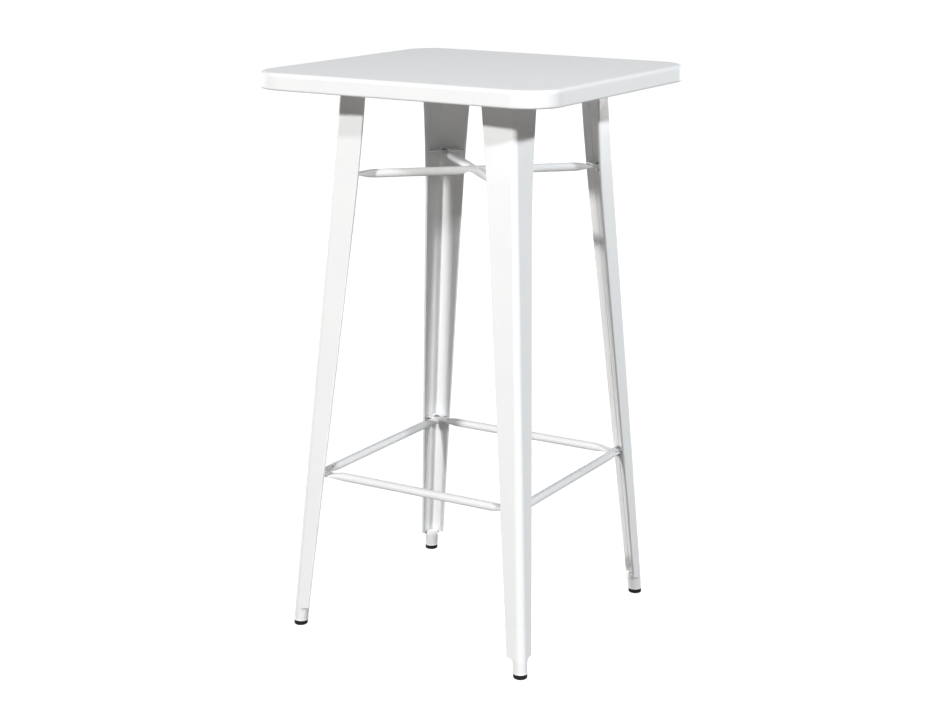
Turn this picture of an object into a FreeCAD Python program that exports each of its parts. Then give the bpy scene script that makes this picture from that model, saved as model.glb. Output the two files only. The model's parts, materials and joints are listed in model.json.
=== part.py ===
import FreeCAD, Part
import math
import os

# Bar-height pub table in pressed and powder-coated sheet steel.
# Millimetres. The origin lies on the floor under the middle of the top, +Z is up, the front is -Y.
# One corner of the table, the one at +X +Y, is worked out and turned in quarter turns to the others.

Vector = FreeCAD.Vector
Z_AXIS = Vector(0, 0, 1)
MIDDLE = Vector(0, 0, 0)

# ---- driving dimensions -------------------------------------------------------------------------

# table top: a pressed pan, open below, with its skirt hemmed inwards
table_height = 1060.0
top_side = 600.0
top_corner_radius = 66.0
top_sheet = 1.2
top_edge_radius = 7.0
skirt_depth = 31.0
skirt_hem_radius = 4.0
skirt_hem_width = 13.0

# two hat channels under the pan, which carry the legs
channel_web = 42.0
channel_depth = 20.0
channel_flange = 13.0
channel_sheet = 1.5
channel_end_gap = 5.0

# legs: tapered angle section with a hem along each free edge
leg_sheet = 1.5
leg_corner_at_floor = 256.0
leg_corner_at_top = 179.4
leg_end_height = 35.0
flange_at_foot = 35.3
flange_at_top = 62.0
flange_swing_at_foot = -2.0
flange_swing_at_top = 1.2
flange_flare = 11.5
flare_start = 780.0
flare_steps = 5
leg_bend_at_top = 10.0
hem_depth = 6.0
hem_width_at_foot = 7.5
hem_width_at_top = 17.0
hem_bend = 2.2
hem_edge_gap = 0.1
flange_end_rise = 5.0

# plate welded on the top of each leg
leg_plate = 3.0
leg_plate_clip = 25.0
leg_bolt_offset = 10.5

# feet: a drawn ferrule in the leg's corner and a rubber plug
ferrule_top_radius = 13.7
ferrule_bottom_radius = 12.8
ferrule_wall = 1.5
ferrule_bottom = 9.0
ferrule_neck = 4.0
ferrule_dome = 1.5
ferrule_fit = 0.1
rubber_radius = 13.0
rubber_edge = 3.0
rubber_stem = 14.0
rubber_lead_in = 2.0
rubber_fit = 0.15

# tubes of the cross brace and the footrest
tube_diameter = 16.0
tube_wall = 1.5
tab_thickness = 3.0
tube_flattening = 35.0
flattening_steps = 5
footrest_height = 302.0
footrest_inset = 24.5
footrest_tab_flat = 18.0
drain_hole = 4.0
drain_from_bolt = 29.0
brace_height = 870.0
brace_inset = 22.0
brace_tab_flat = 14.0
brace_saddle = 22.0
brace_saddle_ramp = 20.0

# plates inside the legs, which carry the tubes
bracket_plate = 2.5
bracket_edge_gap = 3.5
bracket_hem_gap = 0.3
bracket_fit = 0.1
bracket_corner_clip = 12.0
gusset_nose_clip = 7.0

# fasteners
small_bolt = 6.0
large_bolt = 8.0
hole_clearance = 0.6
nut_clearance = 0.2
bolt_end = 2.5

# ---- heights and places that follow -------------------------------------------------------------

pan_underside = table_height - top_sheet
channel_underside = pan_underside - channel_depth
leg_top = channel_underside - leg_plate
skirt_bottom = table_height - skirt_depth
half_side = top_side / 2.0
channel_from_middle = leg_corner_at_top - flange_at_top / 2.0
tube_radius = tube_diameter / 2.0
hem_edge = 2.0 * leg_sheet + hem_edge_gap
brace_tab_bottom = brace_height - tab_thickness / 2.0
brace_tab_top = brace_tab_bottom + tab_thickness
footrest_tab_top = footrest_height + tab_thickness

CORNERS = ("rear_right", "rear_left", "front_left", "front_right")
SIDES = ("right", "rear", "left", "front")


# ---- helpers ------------------------------------------------------------------------------------

def save(name, shape):
    shape.exportStep("parts/" + name + ".step")


def quarter_turn(shape, count):
    turned = shape.copy()
    turned.rotate(MIDDLE, Z_AXIS, 90.0 * count)
    return turned


def group(shapes):
    return Part.makeCompound(shapes)


def at_height(point, height):
    return Vector(point.x, point.y, height)


def left_of(direction):
    return Vector(-direction.y, direction.x, 0)


def right_of(direction):
    return Vector(direction.y, -direction.x, 0)


def rod(radius, low, high, place):
    return Part.makeCylinder(radius, high - low, Vector(place.x, place.y, low))


def prism(points, low, high):
    outline = Part.makePolygon([at_height(p, low) for p in points + points[:1]])
    return Part.Face(outline).extrude(Vector(0, 0, high - low))


def rounded_block(side, corner, low, high):
    block = Part.makeBox(side, side, high - low, Vector(-side / 2.0, -side / 2.0, low))
    uprights = [e for e in block.Edges if abs(e.tangentAt(e.FirstParameter).z) > 0.99]
    return block.makeFillet(corner, uprights)


def edges_at(shape, height):
    return [e for e in shape.Edges if all(abs(v.Z - height) < 1e-6 for v in e.Vertexes)]


def bent_edges(points, radii, height):
    """Lines through points, each inner corner rounded by its radius, as edges at a height."""
    edges = []
    start = points[0]
    for before, corner, after, radius in zip(points, points[1:], points[2:], radii):
        back = (before - corner).normalize()
        ahead = (after - corner).normalize()
        half_angle = back.getAngle(ahead) / 2.0
        reach = radius / math.tan(half_angle)
        bisector = (back + ahead).normalize()
        centre = corner + bisector * (radius / math.sin(half_angle))
        arc_start = corner + back * reach
        arc_end = corner + ahead * reach
        arc_middle = centre - bisector * radius
        edges.append(Part.makeLine(at_height(start, height), at_height(arc_start, height)))
        arc = Part.Arc(*[at_height(p, height) for p in (arc_start, arc_middle, arc_end)])
        edges.append(arc.toShape())
        start = arc_end
    edges.append(Part.makeLine(at_height(start, height), at_height(points[-1], height)))
    return edges


def offset_right(points, distance):
    """The same run of straight lines, moved to its right by a distance."""
    moved = []
    last = len(points) - 1
    for i, point in enumerate(points):
        before = (point - points[i - 1]).normalize() if i > 0 else None
        after = (points[i + 1] - point).normalize() if i < last else None
        before = before or after
        after = after or before
        side_a = right_of(before)
        side_b = right_of(after)
        moved.append(point + (side_a + side_b) * (distance / (1.0 + side_a.dot(side_b))))
    return moved


# ---- leg ----------------------------------------------------------------------------------------

class LegSection:
    """The angle section of the +X +Y leg at one height, with its two flanges called x and y."""

    def __init__(self, height):
        share = height / leg_top
        self.height = height
        self.corner_at = leg_corner_at_floor + (leg_corner_at_top - leg_corner_at_floor) * share
        self.length = flange_at_foot + (flange_at_top - flange_at_foot) * share
        self.hem = hem_width_at_foot + (hem_width_at_top - hem_width_at_foot) * share
        bend_share = (height - leg_end_height) / (leg_top - leg_end_height)
        self.bend = ferrule_top_radius + (leg_bend_at_top - ferrule_top_radius) * bend_share
        flare_share = max(0.0, (height - flare_start) / (leg_top - flare_start))
        swing = flange_swing_at_foot + (flange_swing_at_top - flange_swing_at_foot) * share
        swing += flange_flare * flare_share ** 2
        self.corner = Vector(self.corner_at, self.corner_at, 0)
        self.along_x = Vector(-self.length, swing, 0).normalize()
        self.along_y = Vector(swing, -self.length, 0).normalize()
        self.inward_x = left_of(self.along_x)
        self.inward_y = right_of(self.along_y)

    def on_x(self, along, inward):
        return self.corner + self.along_x * along + self.inward_x * inward

    def on_y(self, along, inward):
        return self.corner + self.along_y * along + self.inward_y * inward

    def arc_centre(self, radius):
        """The middle of an arc of this radius that touches both flanges on their outside."""
        half_angle = self.along_x.getAngle(self.along_y) / 2.0
        towards = (self.along_x + self.along_y).normalize()
        return self.corner + towards * (radius / math.sin(half_angle))

    def wire(self):
        end = self.length - self.hem
        outside = [
            self.on_x(end, hem_edge),
            self.on_x(self.length, hem_depth),
            self.on_x(self.length, 0),
            self.corner,
            self.on_y(self.length, 0),
            self.on_y(self.length, hem_depth),
            self.on_y(end, hem_edge),
        ]
        inside = offset_right(outside, leg_sheet)
        radii = [hem_bend, hem_bend, self.bend, hem_bend, hem_bend]
        inner_radii = [r - leg_sheet for r in radii]
        edges = bent_edges(outside, radii, self.height)
        inner_edges = bent_edges(inside, inner_radii, self.height)
        cap_a = Part.makeLine(at_height(outside[-1], self.height), at_height(inside[-1], self.height))
        cap_b = Part.makeLine(at_height(inside[0], self.height), at_height(outside[0], self.height))
        return Part.Wire(Part.__sortEdges__(edges + [cap_a] + inner_edges + [cap_b]))


def make_leg():
    step = (leg_top - flare_start) / flare_steps
    heights = [leg_end_height] + [flare_start + step * i for i in range(flare_steps + 1)]
    shell = Part.makeLoft([LegSection(h).wire() for h in heights], True, True)
    foot = LegSection(leg_end_height)
    slope_start = foot.bend
    slope_end = foot.length + hem_depth
    depth = foot.length
    for place in (foot.on_x, foot.on_y):
        low = [place(slope_start, -hem_depth), place(slope_end, -hem_depth)]
        wedge = Part.makePolygon([
            at_height(low[0], leg_end_height),
            at_height(low[1], leg_end_height - hem_depth),
            at_height(low[1], leg_end_height + flange_end_rise),
            at_height(low[0], leg_end_height),
        ])
        across = place(slope_start, depth) - low[0]
        shell = shell.cut(Part.Face(wedge).extrude(across))
    return shell


# ---- plates inside the leg ----------------------------------------------------------------------

def bolt_hole(diameter, place, low, high):
    return rod((diameter + hole_clearance) / 2.0, low - 1.0, high + 1.0, place)


def make_brace_bracket():
    """A triangular plate across the inside of the leg, notched round the leg's hems."""
    bottom = brace_tab_top
    top = bottom + bracket_plate
    section = LegSection(top)
    reach = section.length - bracket_edge_gap
    notch = section.length - section.hem - bracket_hem_gap
    wall = leg_sheet + bracket_fit
    past_hem = hem_depth + bracket_hem_gap
    plate = prism([
        section.on_y(bracket_corner_clip, wall),
        section.on_x(bracket_corner_clip, wall),
        section.on_x(notch, wall),
        section.on_x(notch, hem_edge + bracket_hem_gap),
        section.on_x(reach, past_hem),
        section.on_y(reach, past_hem),
        section.on_y(notch, hem_edge + bracket_hem_gap),
        section.on_y(notch, wall),
    ], bottom, top)
    return plate.cut(bolt_hole(small_bolt, bolt_place(brace_height, brace_inset), bottom, top))


def make_footrest_gusset():
    """A square plate that fills the leg's corner up to its hems, clipped at the nose."""
    bottom = footrest_tab_top
    top = bottom + bracket_plate
    section = LegSection(top)
    reach = section.length - section.hem - bracket_hem_gap
    wall = leg_sheet + bracket_fit
    plate = prism([
        section.on_y(bracket_corner_clip, wall),
        section.on_x(bracket_corner_clip, wall),
        section.on_x(reach, wall),
        section.on_x(reach, reach - gusset_nose_clip),
        section.on_y(reach, reach - gusset_nose_clip),
        section.on_y(reach, wall),
    ], bottom, top)
    return plate.cut(bolt_hole(small_bolt, bolt_place(footrest_height, footrest_inset), bottom, top))


def bolt_place(height, inset):
    position = LegSection(height).corner_at - inset
    return Vector(position, position, 0)


def leg_bolt_places():
    """The two bolts of the +X +Y leg, either side of the middle of the channel."""
    near = channel_from_middle - leg_bolt_offset
    far = channel_from_middle + leg_bolt_offset
    return [Vector(near, far, 0), Vector(far, near, 0)]


def make_leg_plate():
    section = LegSection(leg_top)
    inner = section.on_x(section.length, 0).x
    clip = inner + leg_plate_clip
    outline = [
        section.corner,
        section.on_x(section.length, 0),
        Vector(inner, clip, 0),
        Vector(clip, inner, 0),
        section.on_y(section.length, 0),
    ]
    plate = prism(outline, leg_top, channel_underside)
    for place in leg_bolt_places():
        plate = plate.cut(bolt_hole(large_bolt, place, leg_top, channel_underside))
    return plate


# ---- feet ---------------------------------------------------------------------------------------

def foot_centre(height):
    return at_height(LegSection(height).arc_centre(ferrule_top_radius), height)


def leaning_body(rings):
    """A solid through level circles whose middles follow the leg's corner, from (height, radius)."""
    wires = []
    for height, radius in rings:
        circle = Part.makeCircle(radius, foot_centre(height), Z_AXIS)
        wires.append(Part.Wire(circle))
    spans = [Part.makeLoft([a, b], True, True) for a, b in zip(wires, wires[1:])]
    body = spans[0]
    for span in spans[1:]:
        body = body.fuse(span)
    return body


def ferrule_bore(height):
    share = (height - ferrule_bottom) / (leg_end_height - ferrule_bottom)
    outside = ferrule_bottom_radius + (ferrule_top_radius - ferrule_bottom_radius) * share
    return outside - ferrule_wall


def make_ferrule():
    neck_radius = ferrule_top_radius - leg_sheet - ferrule_fit
    neck_top = leg_end_height + ferrule_neck
    crown = neck_top + ferrule_dome
    crown_radius = neck_radius - ferrule_dome
    outside = leaning_body([
        (ferrule_bottom, ferrule_bottom_radius),
        (leg_end_height, ferrule_top_radius),
        (leg_end_height + 0.01, neck_radius),
        (neck_top, neck_radius),
        (crown, crown_radius),
    ])
    bore = leaning_body([
        (ferrule_bottom, ferrule_bore(ferrule_bottom)),
        (leg_end_height - ferrule_wall, ferrule_bore(leg_end_height - ferrule_wall)),
        (leg_end_height, neck_radius - ferrule_wall),
        (neck_top - ferrule_wall / 2.0, neck_radius - ferrule_wall),
        (crown - ferrule_wall, crown_radius - ferrule_wall / 2.0),
    ])
    return outside.cut(bore)


def make_rubber_foot():
    stem_top = ferrule_bottom + rubber_stem
    stem_radius = ferrule_bore(ferrule_bottom) - rubber_fit
    rings = [(0.0, rubber_radius - rubber_edge)]
    round_steps = 4
    for i in range(1, round_steps + 1):
        angle = math.radians(90.0 * i / round_steps)
        height = rubber_edge * (1.0 - math.cos(angle))
        rings.append((height, rubber_radius - rubber_edge * (1.0 - math.sin(angle))))
    rings.append((ferrule_bottom, ferrule_bottom_radius))
    head = leaning_body(rings)
    stem = leaning_body([
        (ferrule_bottom, stem_radius),
        (stem_top - rubber_lead_in, stem_radius),
        (stem_top, stem_radius - rubber_lead_in),
    ])
    return head.fuse(stem).removeSplitter()


# ---- tubes --------------------------------------------------------------------------------------

def tube_section(height, shrink, station, lift):
    """The tube pressed to a height, cut across the X axis: an oval, or flat-sided where closed."""
    half_w = pressed_width(height) / 2.0 - shrink
    half_h = height / 2.0 - shrink
    corner_angle = math.radians(90.0 if height <= tab_thickness else 45.0)
    side = half_w - half_h * (1.0 - math.cos(corner_angle))
    rise = half_h * math.sin(corner_angle)

    def point(y, z):
        return Vector(station, y, z + lift)

    corners = [point(side, rise), point(side, -rise), point(-side, -rise), point(-side, rise)]
    middles = [point(half_w, 0), point(0, -half_h), point(-half_w, 0), point(0, half_h)]
    edges = []
    for i in range(4):
        start = corners[i]
        end = corners[(i + 1) % 4]
        straight = (start + end) * 0.5
        if (middles[i] - straight).Length < 1e-6:
            edges.append(Part.makeLine(start, end))
        else:
            edges.append(Part.Arc(start, middles[i], end).toShape())
    return Part.Wire(edges)


def pressed_height(share):
    return tab_thickness + (tube_diameter - tab_thickness) * math.sin(math.radians(90.0 * share))


def pressed_width(height):
    """The width of the tube pressed to a height, its girth unchanged."""
    return math.pi * (tube_diameter - height) / 2.0 + height


def flattened_end(lift, shrink, first_step):
    """The tube from a pressed tab at station 0 to round at the end of its flattening, along +X."""
    wires = []
    for step in range(first_step, flattening_steps + 1):
        share = step / float(flattening_steps)
        offset = lift * (1.0 - math.sin(math.radians(90.0 * share)))
        wires.append(tube_section(pressed_height(share), shrink, tube_flattening * share, offset))
    return Part.makeLoft(wires, True, True)


def tab(lift, flat):
    width = pressed_width(tab_thickness)
    low = lift - tab_thickness / 2.0
    plate = Part.makeBox(flat, width, tab_thickness, Vector(-flat, -width / 2.0, low))
    end = Part.makeCylinder(width / 2.0, tab_thickness, Vector(-flat, 0, low))
    hole = Part.makeCylinder((small_bolt + hole_clearance) / 2.0, tab_thickness + 2.0,
                             Vector(-flat, 0, low - 1.0))
    return plate.fuse(end).cut(hole)


def make_tube(bolt_to_bolt, flat, lift_a, lift_b, saddle, drain_towards):
    """A tube along X about the origin with a flattened, drilled tab at each end.

    saddle is 0 for a plain tube, +1 or -1 for one pressed in on its top or underside at the middle.
    """
    start = flat + tube_flattening
    round_length = bolt_to_bolt - 2.0 * start
    inner_radius = tube_radius - tube_wall
    outer = Part.makeCylinder(tube_radius, round_length, Vector(start, 0, 0), Vector(1, 0, 0))
    hollow = Part.makeCylinder(inner_radius, round_length, Vector(start, 0, 0), Vector(1, 0, 0))
    ends = ((lift_a, False), (lift_b, True))
    tabs = []
    for lift, far in ends:
        pieces = [flattened_end(lift, 0.0, 0), flattened_end(lift, tube_wall, 1), tab(lift, flat)]
        for piece in pieces:
            piece.translate(Vector(flat, 0, 0))
            if far:
                piece.rotate(Vector(bolt_to_bolt / 2.0, 0, 0), Z_AXIS, 180.0)
        outer = outer.fuse(pieces[0])
        hollow = hollow.fuse(pieces[1])
        tabs.append(pieces[2])
    middle = bolt_to_bolt / 2.0
    if saddle:
        press = saddle_press(middle, saddle)
        outer = outer.cut(press)
        press.translate(Vector(0, 0, -saddle * tube_wall))
        hollow = hollow.cut(press)
    tube = outer.cut(hollow)
    for piece in tabs:
        tube = tube.fuse(piece)
    drain = Part.makeCylinder(drain_hole / 2.0, tube_diameter, Vector(drain_from_bolt, 0, 0),
                              drain_towards)
    tube = tube.cut(drain).removeSplitter()
    tube.translate(Vector(-middle, 0, 0))
    return tube


def saddle_press(middle, side):
    """What presses a brace tube in to half its height, so that the other one can cross it."""
    half = brace_saddle / 2.0
    rise = tube_diameter
    slope = brace_saddle_ramp * rise / tube_radius
    profile = [
        Vector(middle - half, -tube_diameter, 0),
        Vector(middle + half, -tube_diameter, 0),
        Vector(middle + half + slope, -tube_diameter, side * rise),
        Vector(middle - half - slope, -tube_diameter, side * rise),
    ]
    face = Part.Face(Part.makePolygon(profile + profile[:1]))
    return face.extrude(Vector(0, 2.0 * tube_diameter, 0))


def make_footrest_tube():
    """The tube on the right-hand side, from the rear corner to the front one."""
    place = bolt_place(footrest_height, footrest_inset)
    half_tab = tab_thickness / 2.0
    up_and_inwards = Vector(0, -1, 1)
    tube = make_tube(2.0 * place.x, footrest_tab_flat, half_tab, -half_tab, 0, up_and_inwards)
    tube.rotate(MIDDLE, Z_AXIS, -90.0)
    tube.translate(Vector(place.x, 0, footrest_height))
    return tube


def make_brace_tube(upper):
    """One tube of the cross: the upper one to the rear right, the lower one to the rear left."""
    place = bolt_place(brace_height, brace_inset)
    down = Vector(0, 0, -1)
    tube = make_tube(2.0 * place.Length, brace_tab_flat, 0, 0, -1 if upper else 1, down)
    tube.rotate(MIDDLE, Z_AXIS, 45.0 if upper else 135.0)
    tube.translate(Vector(0, 0, brace_height))
    return tube


# ---- fasteners ----------------------------------------------------------------------------------

def hexagon(across_flats, low, high, place):
    corner = across_flats / math.sqrt(3.0)
    points = [Vector(place.x + corner * math.cos(math.radians(60.0 * i)),
                     place.y + corner * math.sin(math.radians(60.0 * i)), 0) for i in range(6)]
    return prism(points, low, high)


def make_domed_bolt(diameter, seat, end, place):
    """A bolt pointing down, its domed head seated at a height."""
    head_radius = diameter
    head_height = 0.6 * diameter
    sphere_radius = (head_radius ** 2 + head_height ** 2) / (2.0 * head_height)
    sphere_centre = Vector(place.x, place.y, seat + head_height - sphere_radius)
    head = Part.makeSphere(sphere_radius, sphere_centre)
    head = head.common(rod(head_radius, seat, seat + head_height, place))
    key = hexagon(0.6 * diameter, seat + head_height / 2.0, seat + head_height, place)
    return head.cut(key).fuse(rod(diameter / 2.0, end, seat, place)).removeSplitter()


def make_hex_bolt(diameter, seat, end, place):
    """A bolt pointing up, its hexagon head hanging below a height."""
    head_height = 0.65 * diameter
    head = hexagon(1.6 * diameter, seat - head_height, seat, place)
    return head.fuse(rod(diameter / 2.0, seat, end, place)).removeSplitter()


def make_nut(diameter, low, place):
    height = 0.8 * diameter
    body = hexagon(1.65 * diameter, low, low + height, place)
    return body.cut(rod((diameter + nut_clearance) / 2.0, low - 1.0, low + height + 1.0, place))


# ---- table top ----------------------------------------------------------------------------------

def make_top_pan():
    outer = rounded_block(top_side, top_corner_radius, skirt_bottom, table_height)
    outer = outer.makeFillet(top_edge_radius, edges_at(outer, table_height))
    outer = outer.makeFillet(skirt_hem_radius, edges_at(outer, skirt_bottom))
    inner_side = top_side - 2.0 * top_sheet
    inner_low = skirt_bottom + top_sheet
    inner = rounded_block(inner_side, top_corner_radius - top_sheet, inner_low, pan_underside)
    inner = inner.makeFillet(top_edge_radius - top_sheet, edges_at(inner, pan_underside))
    inner = inner.makeFillet(skirt_hem_radius - top_sheet, edges_at(inner, inner_low))
    mouth_side = top_side - 2.0 * skirt_hem_width
    mouth_corner = top_corner_radius - skirt_hem_width
    mouth = rounded_block(mouth_side, mouth_corner, skirt_bottom - 1.0, inner_low + 1.0)
    return outer.cut(inner.fuse(mouth))


def make_channel():
    """The rear channel: web down, its two flanges against the underside of the pan."""
    half_length = half_side - top_edge_radius - channel_end_gap
    half_web = channel_web / 2.0
    half_width = half_web + channel_flange - channel_sheet
    y = channel_from_middle
    low = channel_underside
    high = pan_underside
    profile = [
        (half_width, high), (half_width, high - channel_sheet),
        (half_web, high - channel_sheet), (half_web, low), (-half_web, low),
        (-half_web, high - channel_sheet), (-half_width, high - channel_sheet),
        (-half_width, high), (-half_web + channel_sheet, high),
        (-half_web + channel_sheet, low + channel_sheet),
        (half_web - channel_sheet, low + channel_sheet), (half_web - channel_sheet, high),
    ]
    points = [Vector(-half_length, y + across, height) for across, height in profile]
    face = Part.Face(Part.makePolygon(points + points[:1]))
    channel = face.extrude(Vector(2.0 * half_length, 0, 0))
    for place in leg_bolt_places():
        for mirrored in (-1, 1):
            spot = Vector(mirrored * place.x, place.y, 0)
            channel = channel.cut(bolt_hole(large_bolt, spot, low, low + channel_sheet))
    return channel


# ---- the table ----------------------------------------------------------------------------------

def build():
    os.makedirs("parts", exist_ok=True)
    save("tabletop_pan", make_top_pan())
    channel = make_channel()
    save("stiffener_channel_rear", channel)
    save("stiffener_channel_front", quarter_turn(channel, 2))

    footrest_bolt = bolt_place(footrest_height, footrest_inset)
    brace_bolt = bolt_place(brace_height, brace_inset)
    corner_pieces = {
        "leg": make_leg(),
        "leg_top_plate": make_leg_plate(),
        "brace_bracket": make_brace_bracket(),
        "footrest_gusset": make_footrest_gusset(),
        "foot_ferrule": make_ferrule(),
        "rubber_foot": make_rubber_foot(),
    }
    for turn, corner in enumerate(CORNERS):
        for name, shape in corner_pieces.items():
            save(name + "_" + corner, quarter_turn(shape, turn))

    footrest_tube = make_footrest_tube()
    for turn, side in enumerate(SIDES):
        save("footrest_tube_" + side, quarter_turn(footrest_tube, turn))
    save("cross_brace_lower", make_brace_tube(False))
    save("cross_brace_upper", make_brace_tube(True))

    small_nut = 0.8 * small_bolt
    large_nut = 0.8 * large_bolt
    footrest_seat = footrest_tab_top + bracket_plate
    footrest_nut = footrest_height - tab_thickness - small_nut
    brace_seat = brace_tab_top + bracket_plate
    brace_nut = brace_tab_bottom - small_nut
    leg_nut = channel_underside + channel_sheet
    leg_bolt_end = leg_nut + large_nut + bolt_end
    fasteners = {
        "footrest_bolts": [make_domed_bolt(small_bolt, footrest_seat, footrest_nut - bolt_end,
                                           footrest_bolt)],
        "footrest_nuts": [make_nut(small_bolt, footrest_nut, footrest_bolt)],
        "brace_bolts": [make_domed_bolt(small_bolt, brace_seat, brace_nut - bolt_end, brace_bolt)],
        "brace_nuts": [make_nut(small_bolt, brace_nut, brace_bolt)],
        "leg_bolts": [make_hex_bolt(large_bolt, leg_top, leg_bolt_end, place)
                      for place in leg_bolt_places()],
        "leg_weld_nuts": [make_nut(large_bolt, leg_nut, place) for place in leg_bolt_places()],
    }
    for name, shapes in fasteners.items():
        save(name, group([quarter_turn(s, turn) for turn in range(4) for s in shapes]))


build()
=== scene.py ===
import json
import math
import random

import bmesh
import bpy
from mathutils import Matrix, Vector


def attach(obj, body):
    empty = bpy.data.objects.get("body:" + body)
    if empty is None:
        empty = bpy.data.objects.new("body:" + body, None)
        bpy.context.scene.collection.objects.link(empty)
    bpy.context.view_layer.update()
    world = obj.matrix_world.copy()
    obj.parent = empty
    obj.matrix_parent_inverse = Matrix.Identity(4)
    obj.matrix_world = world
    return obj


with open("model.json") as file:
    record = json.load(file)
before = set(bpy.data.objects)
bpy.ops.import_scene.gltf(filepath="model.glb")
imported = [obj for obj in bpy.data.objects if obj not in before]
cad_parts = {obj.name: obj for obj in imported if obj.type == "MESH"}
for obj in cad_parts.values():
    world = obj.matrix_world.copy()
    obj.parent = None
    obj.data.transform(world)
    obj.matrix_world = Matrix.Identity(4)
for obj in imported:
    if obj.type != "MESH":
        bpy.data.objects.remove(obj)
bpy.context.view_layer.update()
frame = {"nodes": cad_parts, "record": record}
nodes = frame["nodes"]

# ---- shader helpers -----------------------------------------------------------------------------


class Wire:
    """A socket that can be used in arithmetic: each operator adds a Math node."""

    def __init__(self, finish, socket):
        self.finish = finish
        self.socket = socket

    def _math(self, operation, a, b):
        return self.finish.node("ShaderNodeMath", {"operation": operation}, {0: a, 1: b}).out()

    def __add__(self, other):
        return self._math("ADD", self, other)

    def __radd__(self, other):
        return self._math("ADD", other, self)

    def __mul__(self, other):
        return self._math("MULTIPLY", self, other)

    def __rmul__(self, other):
        return self._math("MULTIPLY", other, self)


class Placed:
    """A node that has been added, with its outputs as wires."""

    def __init__(self, finish, node):
        self.finish = finish
        self.node = node

    def out(self, name=0):
        return Wire(self.finish, self.node.outputs[name])

    def colour_out(self):
        return Wire(self.finish, next(s for s in self.node.outputs if s.type == "RGBA"))


class Finish:
    """A material or world under construction."""

    def __init__(self, owner):
        owner.use_nodes = True
        self.owner = owner
        self.tree = owner.node_tree
        self.tree.nodes.clear()

    def node(self, kind, settings=None, inputs=None):
        """Adds a node: its settings first, then a value or a wire for each socket named."""
        node = self.tree.nodes.new(kind)
        for name, value in (settings or {}).items():
            setattr(node, name, value)
        for name, value in (inputs or {}).items():
            if isinstance(value, Wire):
                self.tree.links.new(value.socket, node.inputs[name])
            else:
                node.inputs[name].default_value = value
        return Placed(self, node)

    def noise(self, scale, detail=2.0, roughness=0.5):
        """Noise fixed to the piece, with its scale in cells per metre."""
        place = self.node("ShaderNodeTexCoord").out("Object")
        return self.node("ShaderNodeTexNoise", {}, {
            "Vector": place, "Scale": scale, "Detail": detail, "Roughness": roughness,
        }).out("Fac")

    def spread(self, value, low, high, to_low=0.0, to_high=1.0):
        """Stretches what lies between low and high over another range, eased at both ends."""
        return self.node("ShaderNodeMapRange", {"interpolation_type": "SMOOTHSTEP"}, {
            "Value": value, "From Min": low, "From Max": high, "To Min": to_low, "To Max": to_high,
        }).out()

    def tint(self, mask, first, second):
        """The first colour where the mask is nought and the second where it is one."""
        first, second = (c if isinstance(c, Wire) else (*c, 1.0) for c in (first, second))
        return self.node("ShaderNodeMix", {"data_type": "RGBA"}, {
            "Factor": mask, "A": first, "B": second,
        }).colour_out()

    def bump(self, height, strength, distance):
        """Relief that is lit but has no depth of its own, with its distance in metres."""
        return self.node("ShaderNodeBump", {}, {
            "Height": height, "Strength": strength, "Distance": distance,
        }).out()

    def surface(self, shader):
        """Ends the tree with this shader."""
        owner = "World" if isinstance(self.owner, bpy.types.World) else "Material"
        self.node("ShaderNodeOutput" + owner, {}, {"Surface": shader.out()})


# ---- finishes -----------------------------------------------------------------------------------

WHITE_COAT_PALE = (0.868, 0.871, 0.876)
WHITE_COAT_DEEP = (0.850, 0.855, 0.863)
COAT_SPECK = (0.70, 0.70, 0.69)
RUBBER_BLACK = (0.007, 0.007, 0.008)
RUBBER_DUST = (0.030, 0.029, 0.027)
ZINC_DULL = (0.30, 0.305, 0.32)
ZINC_BRIGHT = (0.43, 0.43, 0.44)


def powder_coat():
    """Satin white polyester powder on steel: orange peel, a faint mottle and fine specks."""
    material = bpy.data.materials.new("white_powder_coat")
    f = Finish(material)
    peel = f.noise(420.0, detail=3.0, roughness=0.55)
    mottle = f.noise(9.0, detail=4.0, roughness=0.6)
    pooling = f.noise(45.0, detail=3.0)
    specks = f.spread(f.noise(1500.0, detail=1.0), 0.70, 0.78)
    cloud = f.spread(mottle, 0.35, 0.68)
    shade = f.tint(cloud, WHITE_COAT_DEEP, WHITE_COAT_PALE)
    f.surface(f.node("ShaderNodeBsdfPrincipled", {}, {
        "Base Color": f.tint(specks * 0.25, shade, COAT_SPECK),
        "Roughness": 0.54 + f.spread(pooling, 0.3, 0.7) * 0.07 + cloud * 0.05,
        "IOR": 1.38,
        "Normal": f.bump(peel * 0.8 + pooling * 0.6, strength=0.10, distance=0.0006),
    }))
    return material


def black_rubber():
    """Moulded rubber: matt, with a fine grain and pale dust on it."""
    material = bpy.data.materials.new("foot_rubber")
    f = Finish(material)
    grain = f.noise(900.0, detail=4.0, roughness=0.6)
    dust = f.spread(f.noise(70.0, detail=5.0, roughness=0.65), 0.45, 0.75)
    f.surface(f.node("ShaderNodeBsdfPrincipled", {}, {
        "Base Color": f.tint(dust * 0.5, RUBBER_BLACK, RUBBER_DUST),
        "Roughness": 0.70 + grain * 0.2,
        "IOR": 1.3,
        "Normal": f.bump(grain, strength=0.35, distance=0.0004),
    }))
    return material


def zinc_plate():
    """Bright zinc on the bolts and nuts, with a cloudy passivate and a few dull marks."""
    material = bpy.data.materials.new("zinc_plated_steel")
    f = Finish(material)
    cloud = f.spread(f.noise(160.0, detail=4.0, roughness=0.6), 0.35, 0.7)
    scuffs = f.noise(700.0, roughness=0.7)
    f.surface(f.node("ShaderNodeBsdfPrincipled", {}, {
        "Base Color": f.tint(cloud, ZINC_DULL, ZINC_BRIGHT),
        "Metallic": 1.0,
        "Roughness": 0.42 + scuffs * 0.18,
        "Normal": f.bump(scuffs, strength=0.15, distance=0.0002),
    }))
    return material


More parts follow.
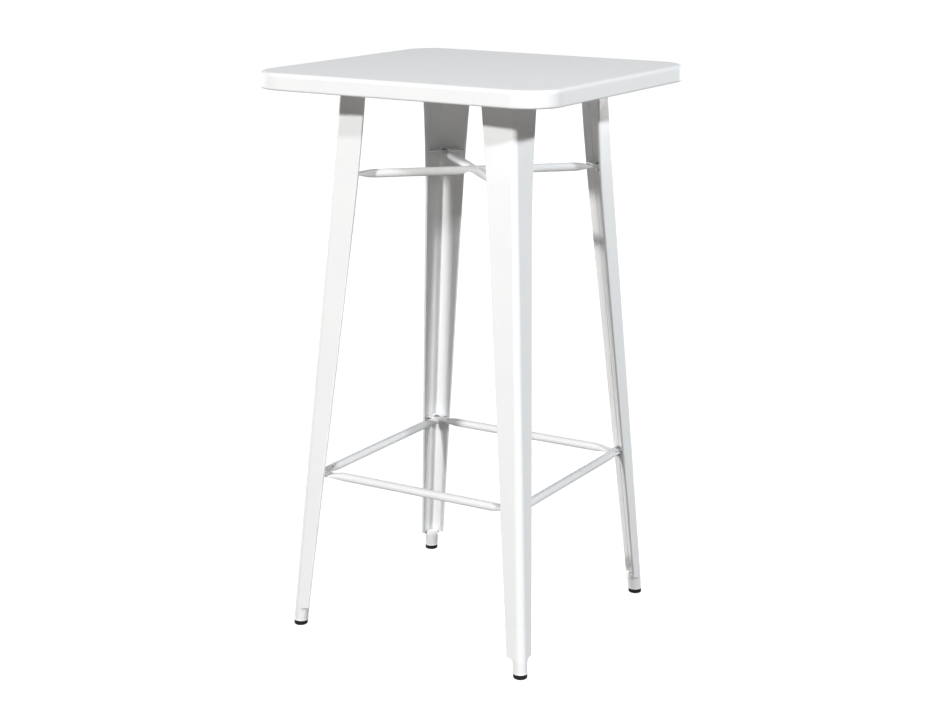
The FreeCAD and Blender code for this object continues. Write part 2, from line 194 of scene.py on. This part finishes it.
FINISHES = {
    "white_powder_coat": powder_coat(),
    "foot_rubber": black_rubber(),
    "zinc_plated_steel": zinc_plate(),
}

for part in frame["record"]["subparts"]:
    mesh = nodes[part["node"]].data
    mesh.materials.clear()
    mesh.materials.append(FINISHES[part["material_slot"]])


# ---- welds, blends and ferrule lips -------------------------------------------------------------
# All of them are made at the rear right leg and then turned to the other three. Lengths are in
# millimetres and angles in degrees. Heights are from the floor, a distance along a flange is from
# the leg's outer corner, and one inwards is from the flange's outer face.

MM = 0.001

# The legs, brackets, gussets and ferrules that carry these forms.
LEG_TOP = 1035.8
LEG_END = 35.0
CORNER_AT_FLOOR, CORNER_AT_TOP = 256.0, 179.4
FLANGE_AT_FLOOR, FLANGE_AT_TOP = 35.3, 62.0
SWING_AT_FLOOR, SWING_AT_TOP = -2.0, 1.2
FLARE_START = 780.0
FLARE = 11.5
FLANGE_END_SLOPE = 0.18

BRACKET_UNDERSIDE, BRACKET_TOP = 871.5, 874.0
GUSSET_TOP = 307.5
FERRULE_END = 9.0
FERRULE_END_RADIUS, FERRULE_RADIUS = 12.8, 13.7
FERRULE_ALONG = 12.25

# How far apart a weld's drops are and how their sizes vary, in shares of its radius.
DROP_SPACING = 0.9
DROP_SIZES = (0.82, 1.12)

# The bead inside a ferrule's shoulder and the seam in the leg's corner above it.
SHOULDER_ANGLES = (132.0, 318.0)
SHOULDER_STEPS = 12
SHOULDER_INSET = 1.2
SEAM_HEIGHTS = (42.0, 67.0)
SEAM_FROM_CENTRE = 12.0

# The blend from a flange's end to the ferrule: where it starts and ends, and how far it reaches.
BLEND_COLUMNS, BLEND_ROWS = 26, 22
BLEND_ON_FLANGE = (13.2, 27.2)
BLEND_ROUND_FERRULE = (4.0, 74.0)
BLEND_RISE = 0.8
BLEND_REACH, BLEND_REACH_MIDDLE = 4.0, 8.0
BLEND_PROUD = 0.05
BLEND_SUNK_AT_CORNER, BLEND_SUNK_AT_ENDS = 0.3, 0.35
BLEND_THICKNESS = 0.6
BLEND_MIDDLE = 16.0

LIP_HEIGHT = 0.8
LIP_RING_RADIUS = 12.95
LIP_RADIUS = 0.7

chance = random.Random(4)


def between(first, last, share):
    """The value that lies a share of the way from the first to the last."""
    return first + (last - first) * share


def leg_at(height):
    """The rear right leg at a height: its corner, the way one flange runs and the way inwards."""
    share = height / LEG_TOP
    corner = between(CORNER_AT_FLOOR, CORNER_AT_TOP, share)
    flared = max(0.0, (height - FLARE_START) / (LEG_TOP - FLARE_START)) ** 2
    swing = between(SWING_AT_FLOOR, SWING_AT_TOP, share) + FLARE * flared
    run = Vector((-between(FLANGE_AT_FLOOR, FLANGE_AT_TOP, share), swing, 0.0)).normalized()
    return Vector((corner, corner, 0.0)), run, Vector((-run.y, run.x, 0.0))


def by_flanges(along, inward, height):
    """The same spot on both flanges of the rear right leg, in metres."""
    corner, run, inwards = leg_at(height)
    spot = corner + run * along + inwards * inward
    return [Vector((x, y, height)) * MM for x, y in ((spot.x, spot.y), (spot.y, spot.x))]


def in_corner(height, from_centre=0.0):
    """A ferrule's middle at a height, or a spot from it towards the leg's corner, in metres."""
    corner, run, _ = leg_at(height)
    other_run = Vector((run.y, run.x, 0.0))
    middle = (run + other_run).normalized()
    to_centre = FERRULE_RADIUS / math.sin(run.angle(other_run) / 2.0)
    spot = corner + middle * (to_centre - from_centre)
    return Vector((spot.x, spot.y, height)) * MM


def add_weld(bm, path, radius):
    """A run of weld: overlapping drops along a path, no two quite the same."""
    size = radius * MM
    for start, end in zip(path, path[1:]):
        run = end - start
        drops = max(1, round(run.length / (DROP_SPACING * size)))
        for i in range(drops):
            drop = size * chance.uniform(*DROP_SIZES)
            place = Matrix.Translation(start + run * (i / drops))
            bmesh.ops.create_icosphere(bm, subdivisions=2, radius=drop, matrix=place)


def add_flange_weld(bm, side, span, inward, height, radius):
    """A straight run of weld on one flange, over a span of distances along it."""
    add_weld(bm, [by_flanges(along, inward, height)[side] for along in span], radius)


def four_corners(name, bm, slot):
    """Turns what was made at the rear right corner to the other three and makes it a piece."""
    bmesh.ops.spin(bm, geom=bm.verts[:] + bm.edges[:] + bm.faces[:], cent=(0.0, 0.0, 0.0),
                   axis=(0.0, 0.0, 1.0), angle=math.radians(270.0), steps=3, use_duplicate=True)
    bmesh.ops.recalc_face_normals(bm, faces=bm.faces[:])
    for face in bm.faces:
        face.smooth = True
    mesh = bpy.data.meshes.new(name)
    bm.to_mesh(mesh)
    bm.free()
    mesh.materials.append(FINISHES[slot])
    piece = bpy.data.objects.new(name, mesh)
    bpy.context.scene.collection.objects.link(piece)
    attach(piece, "root")


def make_bracket_welds():
    """Two tacks under each brace bracket and a run along its back edges."""
    bm = bmesh.new()
    for side in (0, 1):
        add_flange_weld(bm, side, span=(43.0, 47.5), inward=8.0,
                        height=BRACKET_UNDERSIDE - 1.6, radius=2.3)
        add_flange_weld(bm, side, span=(14.0, 39.0), inward=2.0,
                        height=BRACKET_TOP + 0.3, radius=1.2)
    four_corners("bracket_welds", bm, "white_powder_coat")


def make_gusset_welds():
    """A run along each back edge of the footrest gussets and a tack where it meets the hem."""
    bm = bmesh.new()
    for side in (0, 1):
        add_flange_weld(bm, side, span=(13.0, 31.0), inward=2.3,
                        height=GUSSET_TOP + 0.4, radius=1.7)
        add_flange_weld(bm, side, span=(33.5, 37.0), inward=6.5,
                        height=GUSSET_TOP - 0.8, radius=1.9)
    four_corners("gusset_welds", bm, "white_powder_coat")


def make_ferrule_welds():
    """The bead round the inside of each ferrule's shoulder and the seam above it in the corner."""
    bm = bmesh.new()
    centre = in_corner(LEG_END)
    shoulder = []
    for step in range(SHOULDER_STEPS + 1):
        angle = math.radians(between(*SHOULDER_ANGLES, step / SHOULDER_STEPS))
        around = Vector((math.cos(angle), math.sin(angle), 0.0))
        shoulder.append(centre + around * ((FERRULE_RADIUS - SHOULDER_INSET) * MM))
    add_weld(bm, shoulder, radius=1.0)
    seam = [in_corner(height, SEAM_FROM_CENTRE) for height in SEAM_HEIGHTS]
    add_weld(bm, seam, radius=1.1)
    four_corners("ferrule_welds", bm, "white_powder_coat")


def on_blend(across, down):
    """A spot on a blend's outside, as its distances along a flange and inwards, and its height.

    Across runs from nought by the leg's corner to one, and down runs from nought on the flange
    to one on the ferrule. The blend sinks a little into both at its ends and by the corner.
    """
    flange_along = between(*BLEND_ON_FLANGE, across)
    top = LEG_END + BLEND_RISE + FLANGE_END_SLOPE * max(0.0, flange_along - FERRULE_RADIUS)
    reach = BLEND_REACH + BLEND_REACH_MIDDLE * math.sin(math.pi * across)
    height = top - reach * down

    sunk_at_corner = BLEND_SUNK_AT_CORNER * (1.0 - across) ** 5
    sunk_at_ends = BLEND_SUNK_AT_ENDS * abs(2.0 * down - 1.0) ** 10
    proud = BLEND_PROUD - sunk_at_corner - sunk_at_ends

    up_ferrule = (min(height, LEG_END) - FERRULE_END) / (LEG_END - FERRULE_END)
    radius = between(FERRULE_END_RADIUS, FERRULE_RADIUS, up_ferrule) + proud
    angle = math.radians(between(*BLEND_ROUND_FERRULE, across))
    ferrule_along = FERRULE_ALONG + radius * math.sin(angle)
    ferrule_inward = FERRULE_RADIUS - radius * math.cos(angle)

    ease = down * down * (3.0 - 2.0 * down)
    along = between(flange_along, ferrule_along, ease)
    inward = between(-proud, ferrule_inward, ease)
    return along, inward, height


def make_ferrule_blends():
    """The dressed weld that runs the end of each flange smoothly down into the ferrule."""
    bm = bmesh.new()
    for side in (0, 1):
        made = bmesh.ops.create_grid(
            bm, x_segments=BLEND_COLUMNS, y_segments=BLEND_ROWS, size=0.5)
        for vert in made["verts"]:
            across, down = vert.co.x + 0.5, vert.co.y + 0.5
            vert.co = by_flanges(*on_blend(across, down))[side]
        faces = list(dict.fromkeys(face for vert in made["verts"] for face in vert.link_faces))
        thick = bmesh.ops.extrude_face_region(bm, geom=faces, use_keep_orig=True)
        backs = [item for item in thick["geom"] if isinstance(item, bmesh.types.BMVert)]
        outer, one_in = (by_flanges(BLEND_MIDDLE, inward, LEG_END)[side] for inward in (0.0, 1.0))
        bmesh.ops.translate(bm, verts=backs, vec=(one_in - outer) * BLEND_THICKNESS)
    four_corners("ferrule_blends", bm, "white_powder_coat")


def make_ferrule_lips():
    """The rolled lip round the bottom of each ferrule."""
    bm = bmesh.new()
    centre = in_corner(FERRULE_END + LIP_HEIGHT)
    section = Matrix.Translation(centre + Vector((LIP_RING_RADIUS * MM, 0.0, 0.0)))
    section = section @ Matrix.Rotation(math.radians(90.0), 4, "X")
    bmesh.ops.create_circle(bm, segments=12, radius=LIP_RADIUS * MM, matrix=section)
    bmesh.ops.spin(bm, geom=bm.verts[:] + bm.edges[:], cent=centre, axis=(0.0, 0.0, 1.0),
                   angle=math.radians(360.0), steps=64, use_merge=True)
    four_corners("ferrule_lips", bm, "white_powder_coat")


make_bracket_welds()
make_gusset_welds()
make_ferrule_welds()
make_ferrule_blends()
make_ferrule_lips()

# ---- floor, light and camera --------------------------------------------------------------------

# Lengths here are in metres.
FLOOR_HALF_SIDE = 12.0
FLOOR_PAPER = (0.30, 0.30, 0.30, 1.0)
FLOOR_BOUNCE = (0.285, 0.270, 0.250, 1.0)
FLOOR_GLOW_NEAR, FLOOR_GLOW_FAR = 0.92, 1.0
FLOOR_GLOW_FROM, FLOOR_GLOW_TO = 1.0, 4.0
SKY_FILL = (0.96, 0.98, 1.0, 1.0)
SKY_FILL_STRENGTH = 0.012
WHITE = (1.0, 1.0, 1.0, 1.0)

LAMPS_AIM = Vector((0.0, 0.0, 0.6))

# Each lamp's name, place, width, watts and colour.
LAMPS = (
    ("front_lamp", (-0.52, -7.44, 4.24), 0.45, 490.0, (1.0, 0.995, 0.985)),
    ("main_lamp", (6.63, -5.47, 5.23), 0.50, 330.0, (0.97, 0.985, 1.0)),
    ("side_lamp", (8.20, 0.08, 6.34), 0.70, 455.0, (0.925, 0.97, 1.0)),
    ("left_lamp", (-8.50, 1.50, 0.98), 1.40, 330.0, (1.0, 1.0, 1.0)),
    ("back_lamp", (0.60, 9.00, 0.98), 1.40, 400.0, (1.0, 1.0, 1.0)),
)

CAMERA_PLACE = (1.6800, -2.9059, 1.3892)
CAMERA_YAW, CAMERA_PITCH, CAMERA_ROLL = (math.radians(angle) for angle in (30.0, 14.82, 0.49))
CAMERA_LENS = 68.94


def seen_directly(f):
    """One where the ray comes from the camera, a mirror or a glass, and nought elsewhere."""
    path = f.node("ShaderNodeLightPath")
    seen = path.out("Is Camera Ray") + path.out("Is Glossy Ray") + path.out("Is Transmission Ray")
    return f.node("ShaderNodeMath", {"operation": "MINIMUM"}, {0: seen, 1: 1.0}).out()


def make_floor():
    """A floor that looks white and holds the table's shadow, but throws little light up at it."""
    mesh = bpy.data.meshes.new("floor")
    bm = bmesh.new()
    bmesh.ops.create_grid(bm, x_segments=1, y_segments=1, size=FLOOR_HALF_SIDE)
    bm.to_mesh(mesh)
    bm.free()
    floor = bpy.data.objects.new("floor", mesh)
    bpy.context.scene.collection.objects.link(floor)
    material = bpy.data.materials.new("studio_floor")
    f = Finish(material)
    paper = f.node("ShaderNodeBsdfDiffuse", {}, {"Color": FLOOR_PAPER})
    place = f.node("ShaderNodeTexCoord").out("Object")
    distance = f.node("ShaderNodeVectorMath", {"operation": "LENGTH"}, {0: place}).out("Value")
    level = f.spread(distance, FLOOR_GLOW_FROM, FLOOR_GLOW_TO, FLOOR_GLOW_NEAR, FLOOR_GLOW_FAR)
    white = f.node("ShaderNodeCombineColor", {}, {"Red": level, "Green": level, "Blue": level})
    glow = f.node("ShaderNodeEmission", {}, {"Color": white.out(), "Strength": 1.0})
    shadowed = f.node("ShaderNodeAddShader", {}, {0: paper.out(), 1: glow.out()})
    plain = f.node("ShaderNodeBsdfDiffuse", {}, {"Color": FLOOR_BOUNCE})
    f.surface(f.node("ShaderNodeMixShader", {}, {
        0: seen_directly(f), 1: plain.out(), 2: shadowed.out(),
    }))
    mesh.materials.append(material)


def make_world():
    """A white backdrop to the eye that gives the table only a faint fill."""
    world = bpy.data.worlds.new("studio")
    bpy.context.scene.world = world
    f = Finish(world)
    fill = f.node("ShaderNodeBackground", {}, {"Color": SKY_FILL, "Strength": SKY_FILL_STRENGTH})
    white = f.node("ShaderNodeBackground", {}, {"Color": WHITE, "Strength": 1.0})
    f.surface(f.node("ShaderNodeMixShader", {}, {
        0: seen_directly(f), 1: fill.out(), 2: white.out(),
    }))


def make_lamp(name, position, size, watts, colour):
    """A round lamp that points at the table."""
    lamp = bpy.data.lights.new(name, "AREA")
    lamp.shape = "DISK"
    lamp.size = size
    lamp.energy = watts
    lamp.color = colour
    holder = bpy.data.objects.new(name, lamp)
    holder.location = position
    aim = LAMPS_AIM - Vector(position)
    holder.rotation_euler = aim.to_track_quat("-Z", "Y").to_euler()
    bpy.context.scene.collection.objects.link(holder)


def make_camera():
    """A camera at standing height, turned to the front right corner and tipped down a little."""
    data = bpy.data.cameras.new("camera")
    data.sensor_width = 36.0
    data.lens = CAMERA_LENS
    data.clip_end = 60.0
    camera = bpy.data.objects.new("camera", data)
    heading = Vector((-math.sin(CAMERA_YAW), math.cos(CAMERA_YAW), 0.0))
    ahead = heading * math.cos(CAMERA_PITCH) - Vector((0.0, 0.0, math.sin(CAMERA_PITCH)))
    level = Vector((math.cos(CAMERA_YAW), math.sin(CAMERA_YAW), 0.0))
    upright = level.cross(ahead)
    across = level * math.cos(CAMERA_ROLL) + upright * math.sin(CAMERA_ROLL)
    up = upright * math.cos(CAMERA_ROLL) - level * math.sin(CAMERA_ROLL)
    camera.matrix_world = Matrix((across, up, -ahead)).transposed().to_4x4()
    camera.location = CAMERA_PLACE
    bpy.context.scene.collection.objects.link(camera)
    bpy.context.scene.camera = camera


make_floor()
make_world()
for lamp_values in LAMPS:
    make_lamp(*lamp_values)
make_camera()

bpy.context.scene.view_settings.view_transform = "Standard"

# ---- last update of the scene -------------------------------------------------------------------

bpy.context.view_layer.update()
